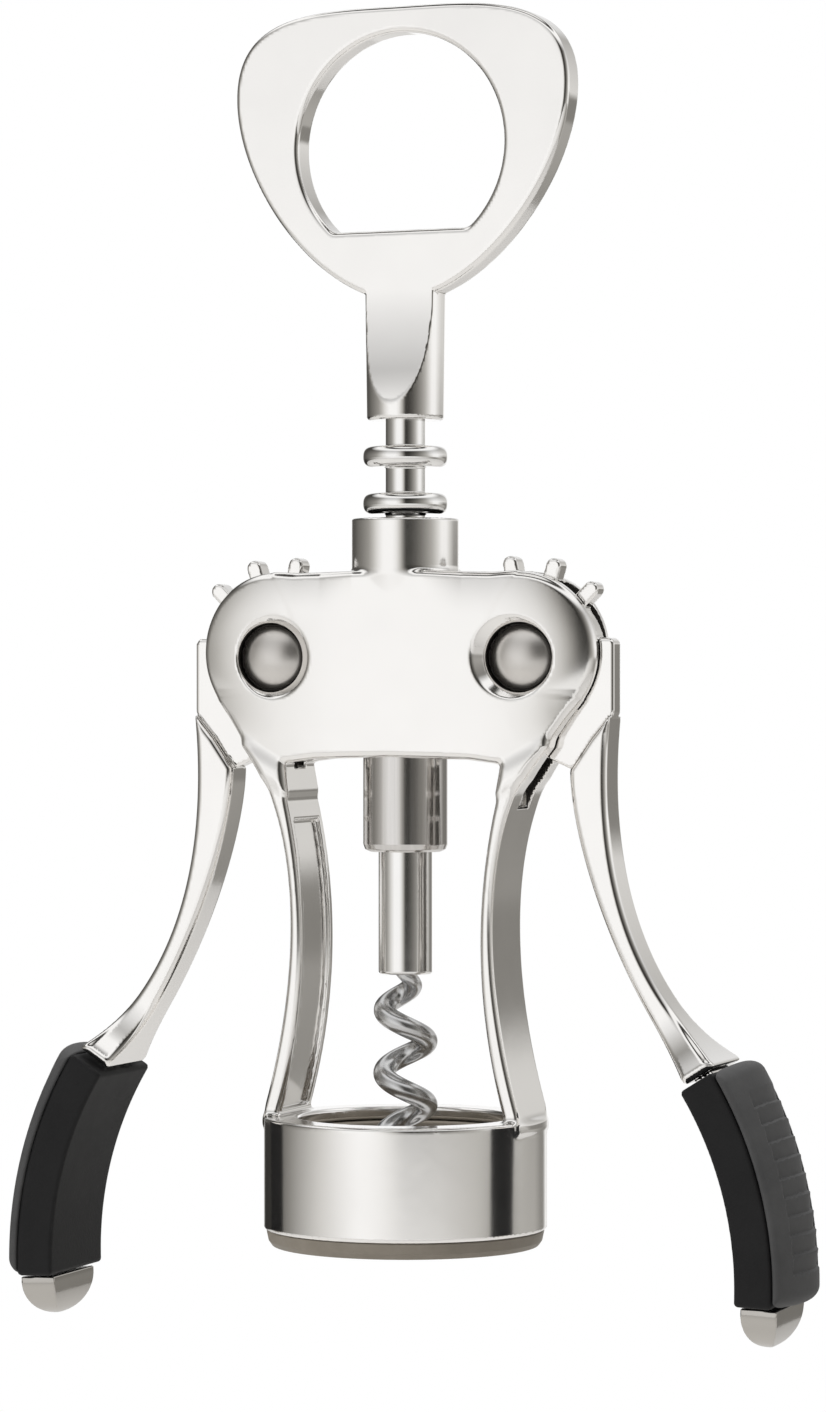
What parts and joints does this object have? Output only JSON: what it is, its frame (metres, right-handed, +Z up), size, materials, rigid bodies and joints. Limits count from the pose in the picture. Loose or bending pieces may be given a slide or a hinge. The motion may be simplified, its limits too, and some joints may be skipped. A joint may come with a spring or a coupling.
{
  "type": "lever corkscrew",
  "caption": "Chrome wing corkscrew with a ringed spindle, geared levers, rubber grips and a bottle opener in its handle.",
  "frame": {"origin": "on the spindle's axis at the foot of the base ring, where the bottle's neck enters", "axes": "+Z up along the spindle towards the handle, -Y the front face, +X towards the right-hand lever"},
  "size_m": [0.1128, 0.0378, 0.1762],
  "materials": {
    "chrome_cast": "polished chrome plate on cast metal",
    "chrome_turned": "polished chrome plate on turned steel",
    "satin_chrome": "polished chrome plate, a little softer",
    "brushed_steel": "brushed lengthwise",
    "satin_steel": "satin, tumbled",
    "worm_steel": "drawn wire, bright",
    "seat_liner": "satin taupe moulding",
    "bush_plastic": "satin black moulding",
    "grip_rubber": "matte black moulding",
    "pad_rubber": "matte dark grey soft moulding with ribs"
  },
  "bodies": {
    "root": {"body_frame": "chrome_cast", "seat_insert": "seat_liner", "left_pivot_pin": "satin_steel", "right_pivot_pin": "satin_steel"},
    "bush": {"guide_bush": "bush_plastic"},
    "spindle": {"handle": "chrome_cast", "rack_shaft": "chrome_turned", "worm_holder": "brushed_steel", "worm_sleeve": "chrome_turned", "worm": "worm_steel"},
    "left_arm": {"left_lever": "chrome_cast", "left_grip": "grip_rubber", "left_grip_pad": "pad_rubber", "left_end_cap": "satin_chrome"},
    "right_arm": {"right_lever": "chrome_cast", "right_grip": "grip_rubber", "right_grip_pad": "pad_rubber", "right_end_cap": "satin_chrome"}
  },
  "joints": [
    {"name": "bush_spin", "type": "hinge", "parent": "root", "child": "bush", "pos_m": [0, 0, 0.0925], "axis": [0, 0, 1], "continuous": true},
    {"name": "spindle_slide", "type": "slide", "parent": "bush", "child": "spindle", "axis": [0, 0, 1], "range_m": [-0.028, 0.0039]},
    {"name": "left_lever_pivot", "type": "hinge", "parent": "root", "child": "left_arm", "pos_m": [-0.0175, 0, 0.0782], "axis": [0, 1, 0], "range_deg": [-17.6, 124.5]},
    {"name": "right_lever_pivot", "type": "hinge", "parent": "root", "child": "right_arm", "pos_m": [0.0175, 0, 0.0782], "axis": [0, 1, 0], "range_deg": [-124.5, 17.6]}
  ],
  "couplings": [
    {"joint": "left_lever_pivot", "follows": "spindle_slide", "rad_per_m": -77.332},
    {"joint": "right_lever_pivot", "follows": "spindle_slide", "rad_per_m": 77.332}
  ]
}
